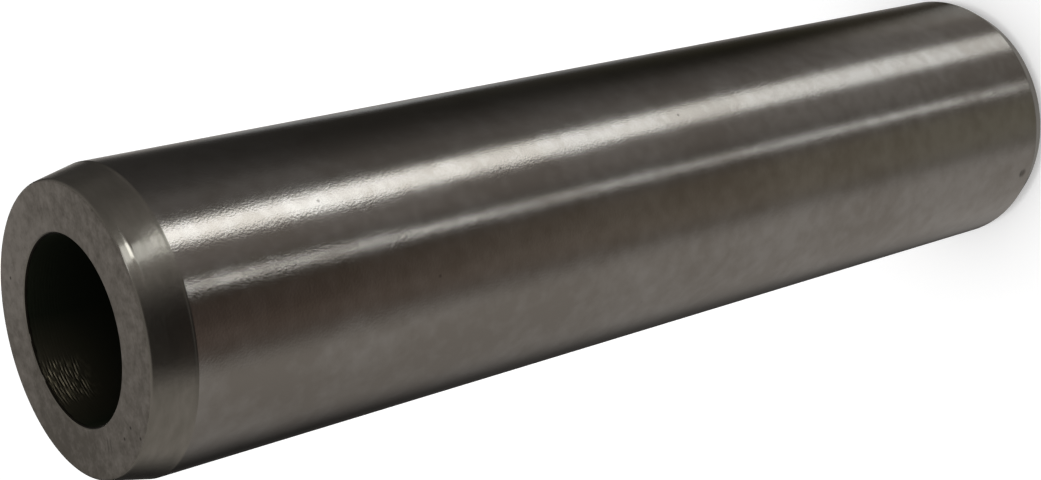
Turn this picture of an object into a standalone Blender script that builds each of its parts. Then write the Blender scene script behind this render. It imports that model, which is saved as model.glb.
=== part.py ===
"""Valve guide: a plain turned iron tube, ground outside and bored right through.

The guide stands on its lower end face, with +Z along its axis. The origin is the centre
of that face. The long lead-in taper, which starts the guide into its hole, is at the
upper end. Sizes are in metres.
"""

import math

import bmesh
import bpy
from mathutils import Matrix, Vector

MM = 0.001

# Driving sizes of the tube
LENGTH = 63.0 * MM
OUTSIDE_DIAMETER = 15.0 * MM
BORE_DIAMETER = 9.0 * MM

# Lead-in taper at the upper end: its length along the axis, how deep it cuts into the
# outside at the end face, and the radius that rounds its corner with that face
LEAD_IN_LENGTH = 2.15 * MM
LEAD_IN_DEPTH = 0.5 * MM
LEAD_IN_CORNER_RADIUS = 0.2 * MM

# Short chamfer at the lower end
FOOT_CHAMFER_LENGTH = 1.1 * MM
FOOT_CHAMFER_DEPTH = 0.5 * MM

# Broken edge at each mouth of the bore, the same along the axis as across it
BORE_EDGE_BREAK = 0.12 * MM

# Fineness of the turned surfaces
STEPS_AROUND = 96
STEPS_IN_CORNER = 8
SHARP_ABOVE = math.radians(11)
WELD_DISTANCE = 0.001 * MM

# Ground iron with a thin film of oil: a dark, slightly warm grey
IRON_COLOUR = (0.33, 0.31, 0.285, 1.0)
IRON_METALLIC = 1.0
IRON_ROUGHNESS = 0.3


def remove_old_objects():
    for old in list(bpy.data.objects):
        bpy.data.objects.remove(old, do_unlink=True)


def rounded_corner(before, corner, after, radius):
    """Points of the arc that touches the two sides of a corner, in walking order."""
    to_before = (before - corner).normalized()
    to_after = (after - corner).normalized()
    half_angle = to_before.angle(to_after) / 2
    setback = radius / math.tan(half_angle)
    arc_start = corner + to_before * setback
    arc_end = corner + to_after * setback
    centre = corner + (to_before + to_after).normalized() * radius / math.sin(half_angle)
    first_spoke = arc_start - centre
    turn = (arc_end - centre).angle_signed(first_spoke)
    points = []
    for step in range(STEPS_IN_CORNER + 1):
        part_turn = Matrix.Rotation(turn * step / STEPS_IN_CORNER, 2)
        points.append(centre + part_turn @ first_spoke)
    return points


def upper_end_outline():
    """From the bore's upper mouth, out over the end face, to the foot of the lead-in."""
    bore_radius = BORE_DIAMETER / 2
    outside_radius = OUTSIDE_DIAMETER / 2
    mouth_rim = Vector((bore_radius + BORE_EDGE_BREAK, LENGTH))
    face_corner = Vector((outside_radius - LEAD_IN_DEPTH, LENGTH))
    lead_in_foot = Vector((outside_radius, LENGTH - LEAD_IN_LENGTH))
    return [
        Vector((bore_radius, LENGTH - BORE_EDGE_BREAK)),
        mouth_rim,
        *rounded_corner(mouth_rim, face_corner, lead_in_foot, LEAD_IN_CORNER_RADIUS),
        lead_in_foot,
    ]


def lower_end_outline():
    """From the top of the foot chamfer, in under the end face, to the bore's lower mouth."""
    bore_radius = BORE_DIAMETER / 2
    outside_radius = OUTSIDE_DIAMETER / 2
    return [
        Vector((outside_radius, FOOT_CHAMFER_LENGTH)),
        Vector((outside_radius - FOOT_CHAMFER_DEPTH, 0.0)),
        Vector((bore_radius + BORE_EDGE_BREAK, 0.0)),
        Vector((bore_radius, BORE_EDGE_BREAK)),
    ]


def turned_mesh(name, outline):
    """Turns a closed outline of (radius, height) points about the Z axis."""
    bm = bmesh.new()
    corners = [bm.verts.new((radius, 0.0, height)) for radius, height in outline]
    sides = [
        bm.edges.new((corner, corners[index - 1])) for index, corner in enumerate(corners)
    ]
    bmesh.ops.spin(
        bm,
        geom=corners + sides,
        cent=(0.0, 0.0, 0.0),
        axis=(0.0, 0.0, 1.0),
        angle=math.tau,
        steps=STEPS_AROUND,
        use_merge=True,
    )
    bmesh.ops.remove_doubles(bm, verts=bm.verts, dist=WELD_DISTANCE)
    bmesh.ops.recalc_face_normals(bm, faces=bm.faces)
    mesh = bpy.data.meshes.new(name)
    bm.to_mesh(mesh)
    bm.free()
    mesh.shade_smooth()
    mesh.set_sharp_from_angle(angle=SHARP_ABOVE)
    return mesh


def ground_iron():
    material = bpy.data.materials.new("ground_iron")
    material.use_nodes = True
    surface = material.node_tree.nodes["Principled BSDF"]
    surface.inputs["Base Color"].default_value = IRON_COLOUR
    surface.inputs["Metallic"].default_value = IRON_METALLIC
    surface.inputs["Roughness"].default_value = IRON_ROUGHNESS
    return material


def make_valve_guide():
    outline = upper_end_outline() + lower_end_outline()
    mesh = turned_mesh("valve_guide", outline)
    mesh.materials.append(ground_iron())
    guide = bpy.data.objects.new("valve_guide", mesh)
    bpy.context.scene.collection.objects.link(guide)
    return guide


remove_old_objects()
make_valve_guide()
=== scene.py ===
# Looks of the valve guide: one turned and ground iron tube that stands on its lower end.
# Everything is in metres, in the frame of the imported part, with +Z along the tube's axis.
# A bearing is an angle round that axis, from -Y towards +X, in degrees.
import math

import bpy
from mathutils import Matrix, Vector

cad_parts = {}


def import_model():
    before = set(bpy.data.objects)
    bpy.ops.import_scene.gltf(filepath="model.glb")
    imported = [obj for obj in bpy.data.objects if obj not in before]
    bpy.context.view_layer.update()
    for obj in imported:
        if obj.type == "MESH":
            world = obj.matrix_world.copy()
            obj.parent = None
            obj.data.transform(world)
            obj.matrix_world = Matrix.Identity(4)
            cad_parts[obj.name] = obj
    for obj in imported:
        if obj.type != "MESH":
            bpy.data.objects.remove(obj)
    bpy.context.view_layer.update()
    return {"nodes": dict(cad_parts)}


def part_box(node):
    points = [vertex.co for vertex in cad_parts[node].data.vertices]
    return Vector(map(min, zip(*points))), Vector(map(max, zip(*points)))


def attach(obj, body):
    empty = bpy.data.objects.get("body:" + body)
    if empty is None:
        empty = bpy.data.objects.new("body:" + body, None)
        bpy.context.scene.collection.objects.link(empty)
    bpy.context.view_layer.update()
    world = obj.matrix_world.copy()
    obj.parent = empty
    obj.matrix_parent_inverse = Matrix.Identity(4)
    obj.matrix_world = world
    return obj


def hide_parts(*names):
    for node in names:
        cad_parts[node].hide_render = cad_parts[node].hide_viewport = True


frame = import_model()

MM = 0.001

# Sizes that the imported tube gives
lowest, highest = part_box("valve_guide")
LENGTH = highest.z - lowest.z
OUTSIDE_RADIUS = highest.x
BORE_RADIUS = min(
    math.hypot(corner.co.x, corner.co.y) for corner in frame["nodes"]["valve_guide"].data.vertices
)

# Turned ends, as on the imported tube
LEAD_IN_LENGTH = 2.15 * MM
LEAD_IN_DEPTH = 0.5 * MM
LEAD_IN_CORNER_RADIUS = 0.2 * MM
FOOT_CHAMFER_LENGTH = 1.1 * MM
FOOT_CHAMFER_DEPTH = 0.5 * MM
BORE_EDGE_BREAK = 0.12 * MM

# Fine groove that the turning tool left just above the foot of the lead-in, as its depth at a
# few distances down the lead-in from the end face
TOOL_GROOVE = [(1.98 * MM, 0.0), (2.06 * MM, 0.007 * MM), (2.12 * MM, 0.001 * MM)]

# Rub on the lead-in beside its corner: its bearing, how far round it runs, and the distances
# down from the end face where it starts, is deepest, and ends
RUB_BEARING = 23.0
RUB_HALF_WIDTH = 15.0
RUB_START = 0.38 * MM
RUB_BOTTOM = 0.56 * MM
RUB_END = 0.66 * MM
RUB_DEPTH = 0.025 * MM

# Wear of the edges, and the loops beside each edge that keep the long faces flat
WORN_MOUTH_RADIUS = 0.03 * MM
WORN_EDGE_RADIUS = 0.05 * MM
WORN_RIDGE_RADIUS = 3 * WORN_EDGE_RADIUS
LOOP_BESIDE_EDGE = 0.06 * MM

# Fineness of the tube: steps round the axis, and down the long runs of the outside and the bore
STEPS_AROUND = 320
LONG_OUTSIDE_STEPS = 20
LONG_BORE_STEPS = 12
WELD_DISTANCE = 0.002 * MM

# The feed marks and the bore's finish reach this far beyond the bore's radius, and the rub is
# kept further out than the last. A faced end's normal is more upright than FACED_ABOVE
MARKS_WITHIN = 0.01 * MM
BORE_FINISH_WITHIN = 0.06 * MM
RUB_BEYOND = 1.0 * MM
FACED_ABOVE = 0.8

# The boring tool's feed marks: a fine helix, cut as real grooves near both mouths. From each
# mouth the marks are full to the first distance, and gone one feed short of the next. Noise
# shifts them along the helix by up to MARKS_WANDER turns
FEED = 0.16 * MM
FEED_MARK_DEPTH = 0.035 * MM
POINTS_PER_FEED_MARK = 8
FULLY_MARKED_ABOVE = 1.5 * MM
MARKED_DEPTH_ABOVE = 2.4 * MM
FULLY_MARKED_BELOW = 0.4 * MM
MARKED_DEPTH_BELOW = 0.8 * MM
DEPTH_SHARE_BELOW = 0.5
MARKS_WANDER = 1.6
MARKS_SEED = 3.0

# Depth of a mark from which the bore's wall counts as cut into, and as fully cut into
CUT_FROM = 0.004 * MM
FULLY_CUT_FROM = 0.018 * MM

# At the upper mouth the marks are deep only on one side: its bearing, how far to each side of
# that they reach and where they are full, and how deep they are elsewhere
MARKED_SIDE = -150.0
MARKED_REACH = 19.0
FULLY_MARKED_REACH = 5.0
DEPTH_SHARE_ELSEWHERE = 0.08

# Knock near the foot, the radius of the painted shade in it, and the height under which the
# outside has close loops
FOOT_KNOCK_BEARING = -37.0
FOOT_KNOCK_HEIGHT = 1.86 * MM
FOOT_KNOCK_SHADE_RADIUS = 0.36 * MM
CLOSE_LOOPS_BELOW = 2.3 * MM

# Small knocks on the surface: bearing, height, distance from the axis, radius, depth. Two are
# on the rim of the face, two on the rim of the bore's mouth, and the last is near the foot
KNOCKS = [
    (120.0, LENGTH, 6.86 * MM, 0.16 * MM, 0.06 * MM),
    (111.5, LENGTH, 6.92 * MM, 0.15 * MM, 0.05 * MM),
    (-156.0, LENGTH, 4.55 * MM, 0.16 * MM, 0.05 * MM),
    (178.0, LENGTH, 4.55 * MM, 0.14 * MM, 0.04 * MM),
    (FOOT_KNOCK_BEARING, FOOT_KNOCK_HEIGHT, OUTSIDE_RADIUS, 0.30 * MM, 0.07 * MM),
]

# How dark the specks and pinholes, the painted shade in the foot's knock and the scratches are,
# and the share of the pinhole pattern's cells that hold a pinhole
SPECK_DARKNESS = 0.5
KNOCK_SHADE_DARKNESS = 0.7
SCRATCH_DARKNESS = 0.6
PINHOLE_SHARE = 0.05

# Faint dark specks on the outside: bearing and height
DARK_SPECKS = [(24.5, 52.8 * MM), (21.5, 42.2 * MM), (27.5, 29.5 * MM), (-12.5, 47.5 * MM)]

# Dark spots on the upper face, and the two ends of each short scratch: bearing and distance
# from the axis. The specks and the spots have one radius
SPOT_RADIUS = 0.11 * MM
SCRATCH_HALF_WIDTH = 0.05 * MM
FACE_SPOTS = [(-62.8, 5.85 * MM), (-51.6, 6.76 * MM), (-53.6, 5.91 * MM), (147.7, 5.87 * MM)]
FACE_SCRATCHES = [
    ((-76.0, 5.2 * MM), (-79.0, 5.9 * MM)),
    ((-79.0, 5.15 * MM), (-82.0, 5.85 * MM)),
]

# The lighter and the darker side of the face: the bearings of their middles, how far these are
# from the axis, and how far from a middle its side fades out and is full
FACE_LIGHTER_SIDE = 132.0
FACE_DARKER_SIDE = -120.0
FACE_SIDE_MIDDLE = 5.9 * MM
FACE_SIDE_REACH = 5.5 * MM
FACE_SIDE_FULL = 0.5 * MM

# The bore's lit side, where light is painted into its colour: its bearing, how far to each side of
# that it reaches and is full, and the heights from which it starts and is full
BORE_LIT_SIDE = -150.0
BORE_LIT_REACH = 44.0
BORE_LIT_FULL_REACH = 5.0
BORE_LIT_FROM = LENGTH - 6.0 * MM
BORE_LIT_FULL_FROM = LENGTH - 1.2 * MM

# Ring of painted shade at the bore's upper mouth: the most that its ragged edge adds to a height,
# and the sums from which the ring starts and is full
MOUTH_SHADE_WANDER = 0.12 * MM
MOUTH_SHADE_FROM = LENGTH - 0.13 * MM
MOUTH_SHADE_FULL_FROM = LENGTH - 0.07 * MM

# Painted highlight on the bare ridges between the feed marks, where they catch the light: how far
# to each side of MARKED_SIDE they reach and are full, and the heights from which they start and
# are full
RIDGE_REACH = 18.0
FULL_RIDGE_REACH = 4.0
RIDGES_FROM = LENGTH - 2.6 * MM
FULL_RIDGES_FROM = LENGTH - 1.8 * MM

# Iron, bare and under a thin film of oil, in linear colour
BARE_IRON = (0.355, 0.34, 0.32, 1.0)
OILED_IRON = (0.285, 0.265, 0.24, 1.0)
PINHOLE_IRON = (0.10, 0.09, 0.08, 1.0)
FACED_IRON = (0.40, 0.375, 0.345, 1.0)
FACED_IRON_DARK = (0.205, 0.19, 0.165, 1.0)
LEAD_IN_IRON = (0.345, 0.325, 0.29, 1.0)
LEAD_IN_IRON_DARK = (0.29, 0.275, 0.24, 1.0)
# The bore's colours are painted light and shade: near black for the shade in the hole, lighter and
# browner where light reaches one side, a bright painted highlight on the ridges there, and painted
# shade at the mouth's edge
BORE_PAINTED_SHADE = (0.095, 0.115, 0.08, 1.0)
BORE_PAINTED_LIGHT = (0.25, 0.225, 0.165, 1.0)
BORE_RIDGE_HIGHLIGHT = (0.62, 0.56, 0.39, 1.0)
BORE_MOUTH_PAINTED_SHADE = (0.018, 0.016, 0.012, 1.0)

# Roughness of each finish, from its glossiest to its dullest patch where it is patchy
OUTSIDE_ROUGHNESS = (0.16, 0.205)
LEAD_IN_ROUGHNESS = (0.20, 0.27)
FACE_ROUGHNESS = (0.45, 0.6)
BORE_ROUGHNESS = 0.5

# Camera: where it is, what it looks at, how far it is turned about its own line of sight
CAMERA_PLACE = Vector((0.0, -84.99, 102.89)) * MM
CAMERA_AIM = Vector((-0.987, 0.0, 36.603)) * MM
CAMERA_ROLL = -104.213
CAMERA_LENS = 69.74
SENSOR_WIDTH = 36.0


def add(tree, kind, inputs=None, **settings):
    """Adds a node to a tree. An input is given as a value or as another node's output."""
    made = tree.nodes.new(kind)
    for name, value in settings.items():
        setattr(made, name, value)
    for name, value in (inputs or {}).items():
        if isinstance(value, bpy.types.NodeSocket):
            tree.links.new(value, made.inputs[name])
        else:
            made.inputs[name].default_value = value
    return made


def maths(tree, operation, *values):
    inputs = dict(enumerate(values))
    return add(tree, "ShaderNodeMath", inputs, operation=operation).outputs[0]


def vector_maths(tree, operation, *values):
    made = add(tree, "ShaderNodeVectorMath", dict(enumerate(values)), operation=operation)
    gives_number = operation in ("LENGTH", "DISTANCE", "DOT_PRODUCT")
    return made.outputs["Value" if gives_number else "Vector"]


def product(tree, first, *others):
    for other in others:
        first = maths(tree, "MULTIPLY", first, other)
    return first


def remap(tree, value, low, high, to_low=0.0, to_high=1.0):
    inputs = {
        "Value": value,
        "From Min": low,
        "From Max": high,
        "To Min": to_low,
        "To Max": to_high,
    }
    return add(tree, "ShaderNodeMapRange", inputs).outputs[0]


def smooth_step(tree, value, start, end):
    return add(
        tree,
        "ShaderNodeMapRange",
        {"Value": value, "From Min": start, "From Max": end},
        interpolation_type="SMOOTHSTEP",
    ).outputs[0]


def cosine(degrees):
    return math.cos(math.radians(degrees))


def tangent(degrees):
    return math.tan(math.radians(degrees))


def toward(bearing):
    angle = math.radians(bearing)
    return Vector((math.sin(angle), -math.cos(angle), 0.0))


def place_at(bearing, distance, height):
    return toward(bearing) * distance + Vector((0.0, 0.0, height))


def on_outside(bearing, height):
    return place_at(bearing, OUTSIDE_RADIUS, height)


def on_face(bearing, distance):
    return place_at(bearing, distance, LENGTH)


def from_axis(tree, place):
    """Distance of a place from the tube's axis."""
    across = vector_maths(tree, "MULTIPLY", place, (1.0, 1.0, 0.0))
    return vector_maths(tree, "LENGTH", across)


def away_from_axis(tree, place):
    """Level direction from the tube's axis to a place."""
    across = vector_maths(tree, "MULTIPLY", place, (1.0, 1.0, 0.0))
    return vector_maths(tree, "NORMALIZE", across)


def facing(tree, place, bearing):
    """Cosine of the angle between a place and a bearing, round the tube's axis."""
    return vector_maths(tree, "DOT_PRODUCT", away_from_axis(tree, place), toward(bearing))


def z_part(tree, vector):
    return add(tree, "ShaderNodeSeparateXYZ", {"Vector": vector}).outputs["Z"]


def in_scene(name, data):
    made = bpy.data.objects.new(name, data)
    bpy.context.scene.collection.objects.link(made)
    return made


# The tube's outline, as (distance from the axis, height) pairs


def rounded_corner(before, corner, after, radius, steps):
    """Arc that touches both sides of a corner, with one more point on each side of it."""
    to_before = (before - corner).normalized()
    to_after = (after - corner).normalized()
    half_angle = to_before.angle(to_after) / 2
    setback = radius / math.tan(half_angle)
    arc_start = corner + to_before * setback
    arc_end = corner + to_after * setback
    centre = corner + (to_before + to_after).normalized() * radius / math.sin(half_angle)
    turn = (arc_end - centre).angle_signed(arc_start - centre)
    points = [arc_start + to_before * LOOP_BESIDE_EDGE]
    for step in range(steps + 1):
        part_turn = Matrix.Rotation(turn * step / steps, 2)
        points.append(centre + part_turn @ (arc_start - centre))
    points.append(arc_end + to_after * LOOP_BESIDE_EDGE)
    return points


def straight_run(start, end, steps):
    """Points between two ends, without the ends."""
    return [start.lerp(end, step / steps) for step in range(1, steps)]


def marked_lead_in(upper, lower):
    """Close loops where the rub is, then the tool's groove."""
    down = (lower - upper).normalized()
    inward = Vector((down.y, -down.x))
    rub_steps = 12
    rub_loops = [
        (RUB_START + (RUB_END - RUB_START) * step / rub_steps, 0.0)
        for step in range(rub_steps + 1)
    ]
    return [
        upper + down * below + inward * depth for below, depth in rub_loops + TOOL_GROOVE
    ]


def tube_outline():
    """Closed outline, up the bore, out over the top, down the outside and in underneath."""
    mouth = BORE_RADIUS + BORE_EDGE_BREAK
    face_corner = Vector((OUTSIDE_RADIUS - LEAD_IN_DEPTH, LENGTH))
    lead_in_foot = Vector((OUTSIDE_RADIUS, LENGTH - LEAD_IN_LENGTH))
    # Each corner, its radius, the steps of its arc, and the steps from it to the next corner
    corners = [
        (Vector((BORE_RADIUS, LENGTH - BORE_EDGE_BREAK)), WORN_MOUTH_RADIUS, 3, 1),
        (Vector((mouth, LENGTH)), WORN_MOUTH_RADIUS, 3, 4),
        (face_corner, LEAD_IN_CORNER_RADIUS, 12, 1),
        (lead_in_foot, WORN_RIDGE_RADIUS, 4, 10),
        (Vector((OUTSIDE_RADIUS, FOOT_CHAMFER_LENGTH)), WORN_RIDGE_RADIUS, 4, 4),
        (Vector((OUTSIDE_RADIUS - FOOT_CHAMFER_DEPTH, 0.0)), WORN_EDGE_RADIUS, 5, 4),
        (Vector((mouth, 0.0)), WORN_MOUTH_RADIUS, 3, 1),
        (Vector((BORE_RADIUS, BORE_EDGE_BREAK)), WORN_MOUTH_RADIUS, 3, 1),
    ]
    marks_above = round(MARKED_DEPTH_ABOVE / FEED * POINTS_PER_FEED_MARK)
    marks_below = round(MARKED_DEPTH_BELOW / FEED * POINTS_PER_FEED_MARK)
    marks_end = Vector((BORE_RADIUS, LENGTH - MARKED_DEPTH_ABOVE))
    marks_start = Vector((BORE_RADIUS, MARKED_DEPTH_BELOW))
    points = []
    for index, (corner, radius, arc_steps, steps_to_next) in enumerate(corners):
        before = corners[index - 1][0]
        after = corners[(index + 1) % len(corners)][0]
        points += rounded_corner(before, corner, after, radius, arc_steps)
        if corner is face_corner:
            points += marked_lead_in(corner, after)
        if corner is lead_in_foot:
            close_loops = Vector((OUTSIDE_RADIUS, CLOSE_LOOPS_BELOW))
            points += straight_run(points[-1], close_loops, LONG_OUTSIDE_STEPS)
            points += [close_loops]
        points += straight_run(points[-1], after, steps_to_next)
    points += straight_run(points[-1], marks_start, marks_below)
    points += [marks_start]
    points += straight_run(marks_start, marks_end, LONG_BORE_STEPS)
    points += [marks_end]
    points += straight_run(marks_end, points[0], marks_above)
    return points


def outline_object():
    points = [(radius, 0.0, height) for radius, height in tube_outline()]
    mesh = bpy.data.meshes.new("tube_outline")
    mesh.from_pydata(points, [], [])
    return in_scene("guide_tube", mesh)


def knock_points():
    """The places of the knocks, as loose points that carry each knock's radius and depth."""
    bearings, heights, distances, radii, depths = zip(*KNOCKS)
    mesh = bpy.data.meshes.new("knocks")
    mesh.from_pydata(list(map(place_at, bearings, distances, heights)), [], [])
    for label, numbers in (("knock_radius", radii), ("knock_depth", depths)):
        values = mesh.attributes.new(label, "FLOAT", "POINT")
        values.data.foreach_set("value", numbers)
    made = in_scene("knock_points", mesh)
    made.hide_render = True
    return made


# Geometry Nodes: the outline turned about the axis, marked by the boring tool and knocked


def turning_tree(finishes):
    tree = bpy.data.node_groups.new("turned_tube", "GeometryNodeTree")
    sockets = tree.interface
    sockets.new_socket("Outline", in_out="INPUT", socket_type="NodeSocketGeometry")
    sockets.new_socket("Steps Around", in_out="INPUT", socket_type="NodeSocketInt")
    for name in ("Length", "Lead-in Length", "Bore Radius", "Feed", "Mark Depth", "Seed"):
        sockets.new_socket(name, in_out="INPUT", socket_type="NodeSocketFloat")
    sockets.new_socket("Knocks", in_out="INPUT", socket_type="NodeSocketObject")
    sockets.new_socket("Tube", in_out="OUTPUT", socket_type="NodeSocketGeometry")
    given = add(tree, "NodeGroupInput").outputs
    turned = turned_grid(tree, given)
    marked = feed_marks(tree, given, turned)
    rubbed = rubbed_lead_in(tree, given, marked)
    knocked = knocked_surface(tree, given, rubbed)
    smooth = add(tree, "GeometryNodeSetShadeSmooth", {"Geometry": knocked}).outputs[0]
    real = add(tree, "GeometryNodeRealizeInstances", {"Geometry": smooth}).outputs[0]
    finished = add_finishes(tree, given, real, finishes)
    result = add(tree, "NodeGroupOutput")
    tree.links.new(finished, result.inputs["Tube"])
    return tree


def turned_grid(tree, given):
    """A grid whose rows are the outline's points, rolled round the axis and closed."""
    size = add(
        tree,
        "GeometryNodeAttributeDomainSize",
        {"Geometry": given["Outline"]},
        component="MESH",
    )
    count = size.outputs["Point Count"]
    rows = maths(tree, "ADD", count, 1.0)
    columns = maths(tree, "ADD", given["Steps Around"], 1.0)
    grid = add(
        tree,
        "GeometryNodeMeshGrid",
        {"Size X": 1.0, "Size Y": 1.0, "Vertices X": rows, "Vertices Y": columns},
    ).outputs["Mesh"]
    index = add(tree, "GeometryNodeInputIndex").outputs[0]
    row = maths(tree, "FLOOR", maths(tree, "DIVIDE", maths(tree, "ADD", index, 0.5), columns))
    column = maths(tree, "SUBTRACT", index, maths(tree, "MULTIPLY", row, columns))
    outline_index = maths(tree, "MODULO", row, count)
    outline_place = add(
        tree,
        "GeometryNodeSampleIndex",
        {
            "Geometry": given["Outline"],
            "Value": position(tree),
            "Index": outline_index,
        },
        data_type="FLOAT_VECTOR",
        domain="POINT",
    ).outputs[0]
    share = maths(tree, "DIVIDE", column, given["Steps Around"])
    angle = maths(tree, "MULTIPLY", share, math.tau)
    rolled = add(
        tree,
        "ShaderNodeVectorRotate",
        {"Vector": outline_place, "Axis": (0.0, 0.0, 1.0), "Angle": angle},
        rotation_type="AXIS_ANGLE",
    ).outputs[0]
    placed = add(
        tree, "GeometryNodeSetPosition", {"Geometry": grid, "Position": rolled}
    ).outputs[0]
    return add(
        tree, "GeometryNodeMergeByDistance", {"Geometry": placed, "Distance": WELD_DISTANCE}
    ).outputs[0]


def position(tree):
    return add(tree, "GeometryNodeInputPosition").outputs[0]


def pushed(tree, tube, direction, amount):
    """The tube with each point moved along its own direction."""
    offset = add(
        tree, "ShaderNodeVectorMath", {0: direction, "Scale": amount}, operation="SCALE"
    ).outputs[0]
    return add(
        tree, "GeometryNodeSetPosition", {"Geometry": tube, "Offset": offset}
    ).outputs[0]


def feed_marks(tree, given, tube):
    """Cuts the boring tool's helix into the bore near both mouths, with a broken, torn look."""
    place = position(tree)
    height = z_part(tree, place)
    outward = away_from_axis(tree, place)
    bore_limit = maths(tree, "ADD", given["Bore Radius"], MARKS_WITHIN)
    in_bore = maths(tree, "LESS_THAN", from_axis(tree, place), bore_limit)
    from_top = maths(tree, "SUBTRACT", given["Length"], height)
    fade_above = smooth_step(tree, from_top, MARKED_DEPTH_ABOVE - FEED, FULLY_MARKED_ABOVE)
    one_side = smooth_step(
        tree,
        facing(tree, place, MARKED_SIDE),
        cosine(MARKED_REACH),
        cosine(FULLY_MARKED_REACH),
    )
    deeper_there = 1.0 - DEPTH_SHARE_ELSEWHERE
    one_side = maths(tree, "MULTIPLY_ADD", one_side, deeper_there, DEPTH_SHARE_ELSEWHERE)
    fade_above = product(tree, fade_above, one_side)
    fade_below = smooth_step(tree, height, MARKED_DEPTH_BELOW - FEED, FULLY_MARKED_BELOW)
    fade_below = product(tree, fade_below, DEPTH_SHARE_BELOW)
    fade = maths(tree, "MAXIMUM", fade_above, fade_below)
    parts = add(tree, "ShaderNodeSeparateXYZ", {"Vector": outward}).outputs
    turn = maths(tree, "DIVIDE", maths(tree, "ARCTAN2", parts["Y"], parts["X"]), math.tau)
    wander = add(
        tree,
        "ShaderNodeTexNoise",
        {"Vector": place, "W": given["Seed"], "Scale": 900.0, "Detail": 2.0},
        noise_dimensions="4D",
    ).outputs[0]
    pitch = maths(tree, "ADD", maths(tree, "DIVIDE", height, given["Feed"]), turn)
    pitch = maths(tree, "ADD", pitch, product(tree, wander, MARKS_WANDER))
    wave = maths(tree, "SINE", product(tree, pitch, math.tau))
    groove = maths(tree, "MULTIPLY_ADD", wave, 0.5, 0.5)
    drawn_out = vector_maths(tree, "MULTIPLY", place, (1.0, 1.0, 1.7))
    torn = add(
        tree,
        "ShaderNodeTexNoise",
        {"Vector": drawn_out, "W": given["Seed"], "Scale": 2700.0, "Detail": 2.0},
        noise_dimensions="4D",
    ).outputs[0]
    torn = remap(tree, torn, 0.43, 0.57)
    depth = product(tree, groove, torn, given["Mark Depth"], fade, in_bore)
    return pushed(tree, tube, outward, depth)


def rubbed_lead_in(tree, given, tube):
    """Presses in the short rub beside the lead-in's corner."""
    place = position(tree)
    below = maths(tree, "SUBTRACT", given["Length"], z_part(tree, place))
    entry = smooth_step(tree, below, RUB_START, RUB_BOTTOM)
    leaving = smooth_step(tree, below, RUB_END, RUB_BOTTOM)
    edge = cosine(RUB_HALF_WIDTH)
    full = edge * 0.3 + 0.7
    round_it = smooth_step(tree, facing(tree, place, RUB_BEARING), edge, full)
    outside_limit = maths(tree, "ADD", given["Bore Radius"], RUB_BEYOND)
    outside = maths(tree, "GREATER_THAN", from_axis(tree, place), outside_limit)
    push = product(tree, entry, leaving, round_it, outside, -RUB_DEPTH)
    return pushed(tree, tube, away_from_axis(tree, place), push)


def knocked_surface(tree, given, tube):
    """Pushes the surface in round each knock's place."""
    knocks = add(tree, "GeometryNodeObjectInfo", {"Object": given["Knocks"]}).outputs["Geometry"]
    nearest = add(tree, "GeometryNodeSampleNearest", {"Geometry": knocks}).outputs[0]

    def of_nearest(kind, value):
        return add(
            tree,
            "GeometryNodeSampleIndex",
            {"Geometry": knocks, "Value": value, "Index": nearest},
            data_type=kind,
            domain="POINT",
        ).outputs[0]

    def named(label):
        return add(
            tree, "GeometryNodeInputNamedAttribute", {"Name": label}, data_type="FLOAT"
        ).outputs["Attribute"]

    place = position(tree)
    centre = of_nearest("FLOAT_VECTOR", place)
    radius = of_nearest("FLOAT", named("knock_radius"))
    depth = of_nearest("FLOAT", named("knock_depth"))
    distance = vector_maths(tree, "DISTANCE", place, centre)
    bowl = smooth_step(tree, distance, radius, 0.0)
    normal = add(tree, "GeometryNodeInputNormal").outputs[0]
    return pushed(tree, tube, normal, product(tree, bowl, depth, -1.0))


def add_finishes(tree, given, tube, finishes):
    """Ground outside, then the turned ends, the faced ends and the bore over it."""
    place = position(tree)
    normal = add(tree, "GeometryNodeInputNormal").outputs[0]
    upright = maths(tree, "ABSOLUTE", z_part(tree, normal))
    lead_in_foot = maths(tree, "SUBTRACT", given["Length"], given["Lead-in Length"])
    bore_limit = maths(tree, "ADD", given["Bore Radius"], BORE_FINISH_WITHIN)
    areas = [
        ("ground", None),
        ("turned", maths(tree, "GREATER_THAN", z_part(tree, place), lead_in_foot)),
        ("faced", maths(tree, "GREATER_THAN", upright, FACED_ABOVE)),
        ("bored", maths(tree, "LESS_THAN", from_axis(tree, place), bore_limit)),
    ]
    for name, area in areas:
        inputs = {"Geometry": tube, "Material": finishes[name]}
        if area is not None:
            inputs["Selection"] = area
        tube = add(tree, "GeometryNodeSetMaterial", inputs).outputs[0]
    return tube


def make_tube(finishes):
    outline = outline_object()
    knocks = knock_points()
    modifier = outline.modifiers.new("turning", "NODES")
    modifier.node_group = turning_tree(finishes)
    wanted = {
        "Steps Around": STEPS_AROUND,
        "Length": LENGTH,
        "Lead-in Length": LEAD_IN_LENGTH,
        "Bore Radius": BORE_RADIUS,
        "Feed": FEED,
        "Mark Depth": FEED_MARK_DEPTH,
        "Seed": MARKS_SEED,
        "Knocks": knocks,
    }
    for item in modifier.node_group.interface.items_tree:
        if item.name in wanted:
            modifier[item.identifier] = wanted[item.name]
    bpy.context.view_layer.update()
    evaluated = outline.evaluated_get(bpy.context.evaluated_depsgraph_get())
    mesh = bpy.data.meshes.new_from_object(evaluated)
    mesh.name = "guide_tube"
    if mesh.materials[0] is None:
        mesh.materials.pop(index=0)
    outline.modifiers.remove(modifier)
    outline.data = mesh
    bpy.data.objects.remove(knocks)
    return outline


# Finishes


def new_material(name):
    material = bpy.data.materials.new(name)
    material.use_nodes = True
    tree = material.node_tree
    surface = tree.nodes["Principled BSDF"]
    surface.inputs["Metallic"].default_value = 1.0
    place = add(tree, "ShaderNodeTexCoord").outputs["Object"]
    return material, tree, surface, place


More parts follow.
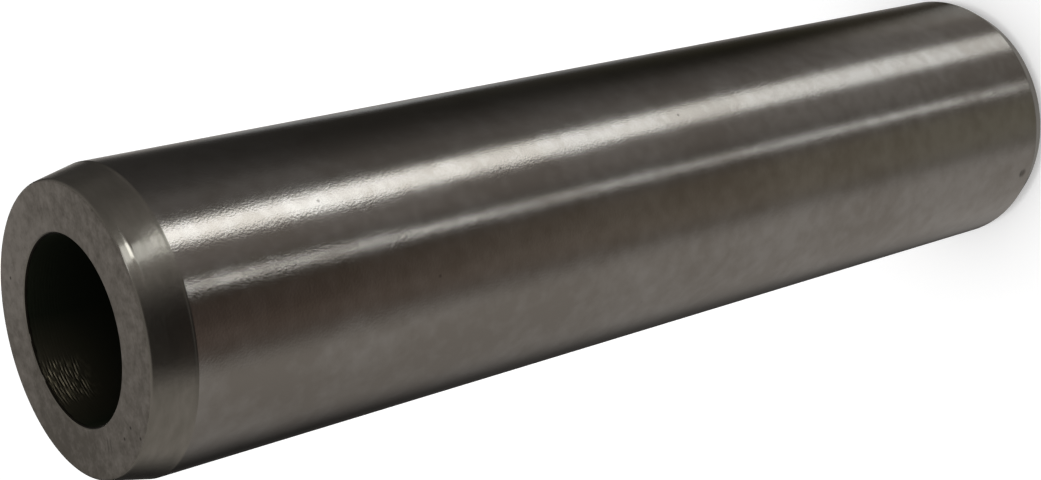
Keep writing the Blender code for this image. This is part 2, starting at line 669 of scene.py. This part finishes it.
def noise(tree, place, scale, detail=2.0, stretch=(1.0, 1.0, 1.0)):
    """Cloudy pattern, which stretch can draw out along an axis."""
    mapped = add(tree, "ShaderNodeMapping", {"Vector": place, "Scale": stretch}).outputs[0]
    inputs = {"Vector": mapped, "Scale": scale, "Detail": detail}
    return add(tree, "ShaderNodeTexNoise", inputs).outputs["Fac"]


def blend_colours(tree, share, first, second):
    made = add(tree, "ShaderNodeMix", data_type="RGBA")
    for socket, value in ((0, share), (6, first), (7, second)):
        if isinstance(value, bpy.types.NodeSocket):
            tree.links.new(value, made.inputs[socket])
        else:
            made.inputs[socket].default_value = value
    return made.outputs[2]


def bump(tree, height, distance, under=None):
    inputs = {"Height": height, "Distance": distance, "Strength": 1.0}
    if under is not None:
        inputs["Normal"] = under
    return add(tree, "ShaderNodeBump", inputs).outputs[0]


def strongest(tree, shares):
    most = shares[0]
    for share in shares[1:]:
        most = maths(tree, "MAXIMUM", most, share)
    return most


def spots(tree, place, centres, radius):
    """1 in each small round spot, fading to 0 at its edge."""
    shares = []
    for centre in centres:
        away = vector_maths(tree, "DISTANCE", place, centre)
        shares.append(remap(tree, away, radius, radius * 0.4))
    return strongest(tree, shares)


def scratch(tree, place, start, end):
    """1 along the line between two places, fading to 0 at its sides and its ends."""
    along = (end - start).normalized()
    from_middle = vector_maths(tree, "SUBTRACT", place, (start + end) / 2)
    shift = vector_maths(tree, "DOT_PRODUCT", from_middle, along)
    shift = maths(tree, "ABSOLUTE", shift)
    sideways = vector_maths(tree, "CROSS_PRODUCT", from_middle, along)
    sideways = vector_maths(tree, "LENGTH", sideways)
    beside = remap(tree, sideways, SCRATCH_HALF_WIDTH, SCRATCH_HALF_WIDTH * 0.4)
    half_length = (end - start).length / 2
    within = remap(tree, shift, half_length, half_length * 0.7)
    return product(tree, beside, within)


def ground_outside():
    """Centreless ground: an even satin with a fine crinkle, a few specks and a patchy oil film."""
    material, tree, surface, place = new_material("ground_iron_outside")
    broad_film = remap(tree, noise(tree, place, scale=120.0, detail=4.0), 0.38, 0.62)
    fine_film = noise(tree, place, scale=1100.0, detail=4.0)
    fine_film = remap(tree, fine_film, 0.3, 0.7, -0.4, 0.4)
    film = add(
        tree, "ShaderNodeMath", {0: broad_film, 1: fine_film}, operation="ADD", use_clamp=True
    ).outputs[0]
    cells = add(tree, "ShaderNodeTexVoronoi", {"Vector": place, "Scale": 700.0}).outputs
    lot = add(tree, "ShaderNodeSeparateColor", {0: cells["Color"]}).outputs[0]
    kept = maths(tree, "LESS_THAN", lot, PINHOLE_SHARE)
    pinhole = product(tree, remap(tree, cells["Distance"], 0.08, 0.02), kept)
    specks = spots(tree, place, [on_outside(*speck) for speck in DARK_SPECKS], SPOT_RADIUS)
    dark = product(tree, maths(tree, "MAXIMUM", pinhole, specks), SPECK_DARKNESS)
    # Painted shade: the foot's knock is darkened round its hollow
    knock = on_outside(FOOT_KNOCK_BEARING, FOOT_KNOCK_HEIGHT)
    knock_shade = product(tree, spots(tree, place, [knock], FOOT_KNOCK_SHADE_RADIUS), KNOCK_SHADE_DARKNESS)
    dark = maths(tree, "MAXIMUM", dark, knock_shade)
    colour = blend_colours(tree, film, BARE_IRON, OILED_IRON)
    colour = blend_colours(tree, dark, colour, PINHOLE_IRON)
    tree.links.new(colour, surface.inputs["Base Color"])
    patchy = noise(tree, place, scale=420.0, detail=5.0)
    gloss = remap(tree, patchy, 0.3, 0.7, *OUTSIDE_ROUGHNESS)
    tree.links.new(gloss, surface.inputs["Roughness"])
    ripple = bump(tree, noise(tree, place, scale=180.0), 0.002 * MM)
    roughed = remap(tree, noise(tree, place, scale=90.0, detail=3.0), 0.4, 0.6, 0.6, 1.0)
    crinkle = noise(tree, place, scale=9000.0)
    wheel_lines = noise(tree, place, scale=1500.0, stretch=(1.0, 1.0, 3.0))
    grain = maths(tree, "ADD", crinkle, product(tree, wheel_lines, 0.25))
    peel = bump(tree, product(tree, grain, roughed), 0.0056 * MM, ripple)
    tree.links.new(peel, surface.inputs["Normal"])
    return material


def turned_ends():
    """Turned lead-in: close in gloss to the outside, drawn out round the axis by the tool."""
    material, tree, surface, place = new_material("turned_iron_lead_in")
    drawn_out = noise(tree, place, scale=1400.0, detail=4.0, stretch=(0.45, 0.45, 1.6))
    film = remap(tree, drawn_out, 0.35, 0.65)
    colour = blend_colours(tree, film, LEAD_IN_IRON, LEAD_IN_IRON_DARK)
    tree.links.new(colour, surface.inputs["Base Color"])
    rub = place_at(RUB_BEARING, OUTSIDE_RADIUS - LEAD_IN_DEPTH, LENGTH - RUB_BOTTOM)
    rubbed = remap(tree, vector_maths(tree, "DISTANCE", place, rub), 1.0 * MM, 0.5 * MM)
    gloss = remap(tree, drawn_out, 0.3, 0.7, *LEAD_IN_ROUGHNESS)
    gloss = product(tree, gloss, maths(tree, "MULTIPLY_ADD", rubbed, -0.45, 1.0))
    tree.links.new(gloss, surface.inputs["Roughness"])
    rings = noise(tree, place, scale=700.0, detail=3.0, stretch=(0.3, 0.3, 12.0))
    turned = bump(tree, rings, 0.002 * MM)
    left_rough = maths(tree, "SUBTRACT", 1.0, rubbed)
    crinkle = product(tree, noise(tree, place, scale=3000.0), left_rough)
    crinkle = bump(tree, crinkle, 0.006 * MM, turned)
    tree.links.new(crinkle, surface.inputs["Normal"])
    return material


def faced_ends():
    """Faced end: matt and finely mottled, with turned rings, dark spots and short scratches."""
    material, tree, surface, place = new_material("faced_iron_end")
    # The face is lighter towards one side and darker towards another
    lighter_side_distance = vector_maths(tree, "DISTANCE", place, on_face(FACE_LIGHTER_SIDE, FACE_SIDE_MIDDLE))
    darker_side_distance = vector_maths(tree, "DISTANCE", place, on_face(FACE_DARKER_SIDE, FACE_SIDE_MIDDLE))
    lighter_side_share = smooth_step(tree, lighter_side_distance, FACE_SIDE_REACH, FACE_SIDE_FULL)
    darker_side_share = smooth_step(tree, darker_side_distance, FACE_SIDE_REACH, FACE_SIDE_FULL)
    lighter = maths(tree, "MULTIPLY_ADD", lighter_side_share, 0.38, 0.56)
    lighter = maths(tree, "MULTIPLY_ADD", darker_side_share, -0.5, lighter)
    grain = noise(tree, place, scale=6000.0, detail=3.0)
    blotches = noise(tree, place, scale=1700.0)
    mottle = maths(tree, "MULTIPLY_ADD", blotches, 1.5, grain)
    mottle = remap(tree, mottle, 0.75, 1.75, -0.5, 0.5)
    rings = add(
        tree,
        "ShaderNodeTexNoise",
        {"W": product(tree, from_axis(tree, place), 7000.0), "Scale": 1.0, "Detail": 3.0},
        noise_dimensions="1D",
    ).outputs[0]
    streaky = remap(tree, noise(tree, place, scale=500.0), 0.4, 0.6)
    streaks = product(tree, rings, streaky, -0.22)
    light = maths(tree, "ADD", maths(tree, "ADD", lighter, mottle), streaks)
    colour = blend_colours(tree, light, FACED_IRON_DARK, FACED_IRON)
    dark = spots(tree, place, [on_face(*spot) for spot in FACE_SPOTS], SPOT_RADIUS)
    colour = blend_colours(tree, dark, colour, PINHOLE_IRON)
    scratched = strongest(
        tree,
        [scratch(tree, place, on_face(*start), on_face(*end)) for start, end in FACE_SCRATCHES],
    )
    scratched = product(tree, scratched, SCRATCH_DARKNESS)
    colour = blend_colours(tree, scratched, colour, PINHOLE_IRON)
    tree.links.new(colour, surface.inputs["Base Color"])
    patchy = noise(tree, place, scale=1500.0, detail=4.0)
    gloss = remap(tree, patchy, 0.3, 0.7, *FACE_ROUGHNESS)
    tree.links.new(gloss, surface.inputs["Roughness"])
    turned = bump(tree, rings, 0.002 * MM)
    rough = bump(tree, grain, 0.0015 * MM, turned)
    tree.links.new(rough, surface.inputs["Normal"])
    return material


def bored_hole():
    """Bored hole: painted shade makes it near black, with painted light, browner, on one side, a
    painted highlight on the ridges there and painted shade at the mouth.
    """
    material, tree, surface, place = new_material("bored_iron_painted_light_and_shade")
    height = z_part(tree, place)
    # Painted light: the side of the bore that the light reaches is lighter and browner, fading out
    # with depth
    lit_side_facing = facing(tree, place, BORE_LIT_SIDE)
    painted_light_share = remap(tree, lit_side_facing, cosine(BORE_LIT_REACH), cosine(BORE_LIT_FULL_REACH))
    painted_light_share = product(tree, painted_light_share, remap(tree, height, BORE_LIT_FROM, BORE_LIT_FULL_FROM))
    # Painted highlight on the uncut ridges on the bore's lit side
    distance = from_axis(tree, place)
    cut_in = remap(tree, distance, BORE_RADIUS + CUT_FROM, BORE_RADIUS + FULLY_CUT_FROM)
    uncut = maths(tree, "SUBTRACT", 1.0, cut_in)
    drawn_out = noise(tree, place, scale=2600.0, detail=3.0, stretch=(0.8, 0.8, 2.0))
    patches = remap(tree, drawn_out, 0.48, 0.66)
    marked = facing(tree, place, MARKED_SIDE)
    marked = smooth_step(tree, marked, cosine(RIDGE_REACH), cosine(FULL_RIDGE_REACH))
    among_marks = remap(tree, height, RIDGES_FROM, FULL_RIDGES_FROM)
    ridge_highlight = product(tree, uncut, patches, marked, among_marks)
    lit_side_colour = blend_colours(tree, ridge_highlight, BORE_PAINTED_LIGHT, BORE_RIDGE_HIGHLIGHT)
    # Painted shade over the whole bore, with the painted light of its lit side blended in
    colour = blend_colours(tree, painted_light_share, BORE_PAINTED_SHADE, lit_side_colour)
    # Painted shade in a ragged ring at the bore's upper mouth
    ragged = noise(tree, place, scale=1600.0, detail=3.0)
    ragged = maths(tree, "MULTIPLY_ADD", ragged, MOUTH_SHADE_WANDER, height)
    mouth_shade = remap(tree, ragged, MOUTH_SHADE_FROM, MOUTH_SHADE_FULL_FROM)
    colour = blend_colours(tree, mouth_shade, colour, BORE_MOUTH_PAINTED_SHADE)
    tree.links.new(colour, surface.inputs["Base Color"])
    surface.inputs["Roughness"].default_value = BORE_ROUGHNESS
    marks = noise(tree, place, scale=900.0, detail=3.0, stretch=(0.5, 0.5, 10.0))
    tree.links.new(bump(tree, marks, 0.004 * MM), surface.inputs["Normal"])
    return material


# Studio: floor, soft light, and a tent of cards that only the metal's gloss sees

TENT_RADIUS = 1.0
TENT_HALF_HEIGHT = 1.7
TENT_CENTRE = LENGTH / 2
TENT_STEPS = 72
STRIP_RADIUS = 0.97
STRIP_STEPS = 8
STRIP_COLUMNS = 5
FLOOR_RADIUS = 4.0
FLOOR_STEPS = 96
FLOOR_GREY = (0.9, 0.9, 0.9, 1.0)
FLOOR_LIFT = 0.30
WORLD_LIGHT = 0.5
WHITE = (1.0, 1.0, 1.0, 1.0)

# Distances from the tube at which the floor starts to fade and is plain white
FLOOR_FADES_FROM = 0.10
FLOOR_WHITE_FROM = 0.28

# The tent's wall has five bands, each given by its elevation as seen from the tube's middle. Only
# the three lowest are tinted brown or olive, and the wall's foot glows evenly
WALL_BANDS = (28.0, -2.0, -29.0, -47.0, -51.0)
FIRST_TINTED_BAND = 2
FOOT_GLOW_FROM = -57.5
FOOT_GLOW_FULL_FROM = -59.3

# Brightness of the wall: a bearing, how brown its tinted bands are there (below 0, how olive),
# then the brightness in each band, from overhead down to the foot
TENT_WALL = [
    (-180.0, 0.0, 0.30, 0.12, 0.14, 0.13, 0.12),
    (-165.0, 0.0, 0.30, 0.04, 0.05, 0.06, 0.06),
    (-157.0, 0.0, 0.30, 0.02, 0.03, 0.07, 0.14),
    (-149.0, 0.0, 0.32, 0.02, 0.02, 0.09, 0.25),
    (-141.0, 0.0, 0.34, 0.03, 0.04, 0.16, 0.33),
    (-133.0, 0.0, 0.34, 0.06, 0.10, 0.27, 0.35),
    (-124.0, 0.0, 0.34, 0.20, 0.21, 0.38, 0.42),
    (-113.0, 0.0, 0.34, 0.36, 0.33, 0.43, 0.45),
    (-58.0, 0.0, 0.34, 0.32, 0.45, 0.46, 0.44),
    (-50.0, 0.0, 0.32, 0.20, 0.36, 0.39, 0.38),
    (-42.0, 0.3, 0.28, 0.07, 0.20, 0.25, 0.24),
    (-38.0, 0.6, 0.27, 0.01, 0.17, 0.25, 0.24),
    (-28.0, 0.9, 0.26, 0.01, 0.155, 0.27, 0.255),
    (-17.0, 1.0, 0.25, 0.005, 0.10, 0.24, 0.25),
    (-6.0, 1.0, 0.25, 0.01, 0.085, 0.24, 0.25),
    (3.0, 0.4, 0.25, 0.03, 0.085, 0.175, 0.22),
    (12.0, 0.1, 0.25, 0.12, 0.10, 0.15, 0.22),
    (24.0, 0.1, 0.25, 0.27, 0.29, 0.22, 0.25),
    (33.0, 0.1, 0.25, 0.34, 0.31, 0.28, 0.28),
    (60.0, 0.0, 0.25, 0.26, 0.20, 0.27, 0.30),
    (78.0, 0.0, 0.25, 0.19, 0.18, 0.26, 0.28),
    (92.0, 0.0, 0.25, 0.145, 0.085, 0.17, 0.28),
    (109.0, -0.3, 0.25, 0.18, 0.05, 0.06, 0.42),
    (120.0, -0.7, 0.25, 0.11, 0.045, 0.015, 0.22),
    (129.0, -1.0, 0.27, 0.11, 0.04, 0.02, 0.07),
    (139.0, -1.0, 0.30, 0.105, 0.035, 0.035, 0.05),
    (149.0, -0.5, 0.36, 0.02, 0.06, 0.05, 0.09),
    (157.0, 0.0, 0.40, 0.08, 0.30, 0.24, 0.22),
    (168.0, 0.0, 0.42, 0.44, 0.51, 0.34, 0.34),
]

# Tint of the plain wall, of the three tinted bands where they are brownest and where they are
# most olive, and colour of the foot
WALL_TINT = (1.0, 0.95, 0.905)
BROWN_TINTS = [(1.22, 0.94, 0.81), (1.08, 0.965, 0.79), (1.02, 0.97, 0.79)]
OLIVE_TINTS = [(1.0, 0.95, 0.88), (1.03, 0.955, 0.58), (1.07, 0.955, 0.74)]
FOOT_GLOW = (0.28, 0.268, 0.252, 1.0)

# Strips of light in front of the wall, each as a run of stops from top to bottom: elevation,
# bearing, width, brightness. The rim and low strips are much fainter than the others
STRIPS = {
    "main_strip": [
        (45.0, 40.0, 12.0, 1.1),
        (12.0, 42.0, 13.0, 1.1),
        (2.0, 43.0, 13.0, 1.4),
        (-5.0, 44.5, 13.0, 1.7),
        (-16.0, 46.0, 12.0, 3.2),
        (-29.0, 49.7, 14.6, 3.3),
        (-35.0, 52.9, 17.3, 2.7),
        (-40.0, 54.8, 16.0, 2.25),
        (-51.0, 60.6, 20.5, 1.5),
        (-58.0, 64.0, 20.5, 1.5),
    ],
    "thin_strip": [
        (-17.0, 10.6, 3.0, 0.8),
        (-29.0, 10.2, 2.2, 5.6),
        (-34.0, 10.5, 2.2, 3.2),
        (-38.0, 10.8, 2.3, 2.5),
        (-43.0, 11.0, 3.2, 1.65),
        (-48.0, 11.2, 4.2, 1.72),
        (-58.0, 11.5, 4.5, 1.6),
    ],
    "rim_strip": [
        (-29.0, 156.0, 8.0, 0.34),
        (-32.0, 155.0, 9.0, 0.38),
        (-34.5, 152.5, 13.0, 0.46),
        (-38.0, 155.0, 9.0, 0.30),
        (-43.0, 157.0, 6.0, 0.26),
    ],
    "low_strip": [
        (-52.0, 123.0, 28.0, 0.4),
        (-54.0, 123.0, 32.0, 0.7),
        (-58.0, 123.0, 34.0, 0.8),
    ],
    "back_strip": [
        (4.0, 172.0, 14.0, 2.0),
        (-20.0, 172.0, 14.0, 2.0),
    ],
}
STRIP_TINT = (0.98, 1.0, 1.0, 1.0)


def emitter(name, colour=WHITE):
    material = bpy.data.materials.new(name)
    material.use_nodes = True
    tree = material.node_tree
    tree.nodes.clear()
    light = add(tree, "ShaderNodeEmission", {"Color": colour, "Strength": 1.0})
    add(tree, "ShaderNodeOutputMaterial", {"Surface": light.outputs[0]})
    return material, tree, light


def only_in_gloss(piece):
    piece.visible_camera = False
    piece.visible_diffuse = False
    piece.visible_shadow = False
    piece.visible_transmission = False
    piece.visible_volume_scatter = False


def stage_object(name, points, faces, material):
    mesh = bpy.data.meshes.new(name)
    mesh.from_pydata(points, [], faces)
    mesh.materials.append(material)
    return in_scene(name, mesh)


def ring(radius, height, steps):
    return [place_at(360.0 * step / steps, radius, height) for step in range(steps)]


def wall_band(tree, share, band):
    """Colour of one band, over the share of a full turn from bearing -180."""
    ramp = add(tree, "ShaderNodeValToRGB", {"Fac": share})
    stops = ramp.color_ramp.elements
    while len(stops) > 1:
        stops.remove(stops[-1])
    for index, (bearing, brown, *brightness) in enumerate(TENT_WALL):
        where = (bearing + 180.0) / 360.0
        stop = stops[0] if index == 0 else stops.new(where)
        stop.position = where
        tint = Vector(WALL_TINT)
        if band >= FIRST_TINTED_BAND:
            tints = BROWN_TINTS if brown > 0.0 else OLIVE_TINTS
            tint = tint.lerp(Vector(tints[band - FIRST_TINTED_BAND]), abs(brown))
        stop.color = (*(tint * brightness[band]), 1.0)
    return ramp.outputs["Color"]


def tent_wall():
    material, tree, light = emitter("tent_wall")
    place = add(tree, "ShaderNodeTexCoord").outputs["Object"]
    parts = add(tree, "ShaderNodeSeparateXYZ", {"Vector": place}).outputs
    bearing = maths(tree, "ARCTAN2", parts["X"], product(tree, parts["Y"], -1.0))
    share = maths(tree, "MULTIPLY_ADD", bearing, 1.0 / math.tau, 0.5)
    bands = [wall_band(tree, share, band) for band in range(len(WALL_BANDS))]
    slope = maths(tree, "DIVIDE", parts["Z"], TENT_RADIUS)
    edges = [tangent(elevation) for elevation in WALL_BANDS]
    colour = bands[0]
    for upper, lower, band in zip(edges, edges[1:], bands[1:]):
        colour = blend_colours(tree, remap(tree, slope, upper, lower), colour, band)
    foot = remap(tree, slope, tangent(FOOT_GLOW_FROM), tangent(FOOT_GLOW_FULL_FROM))
    colour = blend_colours(tree, foot, colour, FOOT_GLOW)
    tree.links.new(colour, light.inputs["Color"])
    lower_ring = ring(TENT_RADIUS, -TENT_HALF_HEIGHT, TENT_STEPS)
    upper_ring = ring(TENT_RADIUS, TENT_HALF_HEIGHT, TENT_STEPS)
    faces = []
    for step in range(TENT_STEPS):
        after = (step + 1) % TENT_STEPS
        faces.append((step, TENT_STEPS + step, TENT_STEPS + after, after))
    faces += [tuple(range(TENT_STEPS)), tuple(range(TENT_STEPS, 2 * TENT_STEPS))]
    wall = stage_object("tent_wall", lower_ring + upper_ring, faces, material)
    wall.location.z = TENT_CENTRE
    only_in_gloss(wall)


def filled_in(stops):
    """The stops, with evenly spaced ones in each gap."""
    filled = []
    for upper, lower in zip(stops, stops[1:]):
        for step in range(STRIP_STEPS):
            share = step / STRIP_STEPS
            filled.append([a + (b - a) * share for a, b in zip(upper, lower)])
    return [*filled, stops[-1]]


def light_strip(name, stops):
    """Upright card, curved round the guide, that runs through its stops from top to bottom."""
    material, tree, light = emitter(name, colour=STRIP_TINT)
    glow = add(tree, "ShaderNodeAttribute", attribute_name="brightness").outputs["Fac"]
    tree.links.new(glow, light.inputs["Strength"])
    points = []
    brightness = []
    faces = []
    for row, (elevation, bearing, width, level) in enumerate(filled_in(stops)):
        for column in range(STRIP_COLUMNS):
            sideways = width * (column / (STRIP_COLUMNS - 1) - 0.5)
            height = STRIP_RADIUS * tangent(elevation)
            corner = len(points)
            above = corner - STRIP_COLUMNS
            points.append(place_at(bearing + sideways, STRIP_RADIUS, height))
            brightness.append(level)
            if row > 0 and column > 0:
                faces.append((above - 1, above, corner, corner - 1))
    card = stage_object(name, points, faces, material)
    values = card.data.attributes.new("brightness", "FLOAT", "POINT")
    values.data.foreach_set("value", brightness)
    card.location.z = TENT_CENTRE
    only_in_gloss(card)


def seen_rays(tree):
    """1 for what the camera sees, straight, by reflection or through glass, and else 0."""
    rays = add(tree, "ShaderNodeLightPath").outputs
    kinds = ("Is Camera Ray", "Is Glossy Ray", "Is Transmission Ray")
    return strongest(tree, [rays[kind] for kind in kinds])


def floor():
    """Pale floor that keeps the guide's soft shadow and runs out into plain white."""
    material = bpy.data.materials.new("pale_floor")
    material.use_nodes = True
    tree = material.node_tree
    tree.nodes.clear()
    place = add(tree, "ShaderNodeTexCoord").outputs["Object"]
    distance = vector_maths(tree, "LENGTH", place)
    near = remap(tree, distance, FLOOR_FADES_FROM, FLOOR_WHITE_FROM, 1.0, 0.0)
    seen = seen_rays(tree)
    card = add(tree, "ShaderNodeBsdfDiffuse", {"Color": FLOOR_GREY}).outputs[0]
    glow = product(tree, seen, FLOOR_LIFT)
    lift = add(tree, "ShaderNodeEmission", {"Color": WHITE, "Strength": glow}).outputs[0]
    lit = add(tree, "ShaderNodeAddShader", {0: card, 1: lift}).outputs[0]
    plain = add(tree, "ShaderNodeEmission", {"Color": WHITE, "Strength": seen}).outputs[0]
    both = add(tree, "ShaderNodeMixShader", {0: near, 1: plain, 2: lit}).outputs[0]
    add(tree, "ShaderNodeOutputMaterial", {"Surface": both})
    points = ring(FLOOR_RADIUS, 0.0, FLOOR_STEPS)
    made = stage_object("floor", points, [tuple(range(FLOOR_STEPS))], material)
    made.visible_glossy = False


def soft_light():
    lamp = bpy.data.lights.new("overhead_softbox", "AREA")
    lamp.shape = "SQUARE"
    lamp.size = 0.6
    lamp.energy = 4.2
    made = in_scene("overhead_softbox", lamp)
    made.location = (0.0, 0.0, 0.9)
    made.visible_glossy = False


def world():
    """White where the camera and the gloss see it, a soft even light for everything else."""
    made = bpy.data.worlds.new("studio")
    made.use_nodes = True
    tree = made.node_tree
    tree.nodes.clear()
    strength = maths(tree, "MULTIPLY_ADD", seen_rays(tree), 1.0 - WORLD_LIGHT, WORLD_LIGHT)
    light = add(tree, "ShaderNodeBackground", {"Color": WHITE, "Strength": strength}).outputs[0]
    add(tree, "ShaderNodeOutputWorld", {"Surface": light})
    bpy.context.scene.world = made


def camera():
    data = bpy.data.cameras.new("camera")
    data.sensor_width = SENSOR_WIDTH
    data.lens = CAMERA_LENS
    data.clip_start = 0.001
    data.clip_end = 20.0
    made = in_scene("camera", data)
    looking = (CAMERA_AIM - CAMERA_PLACE).to_track_quat("-Z", "Y").to_matrix()
    rolled = looking @ Matrix.Rotation(math.radians(CAMERA_ROLL), 3, "Z")
    made.matrix_world = Matrix.Translation(CAMERA_PLACE) @ rolled.to_4x4()
    bpy.context.scene.camera = made


def colour_management():
    bpy.context.scene.view_settings.view_transform = "Standard"


finishes = {
    "ground": ground_outside(),
    "turned": turned_ends(),
    "faced": faced_ends(),
    "bored": bored_hole(),
}
tube = make_tube(finishes)
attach(tube, "root")
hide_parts("valve_guide")

tent_wall()
for name, stops in STRIPS.items():
    light_strip(name, stops)
floor()
soft_light()
world()
camera()
colour_management()
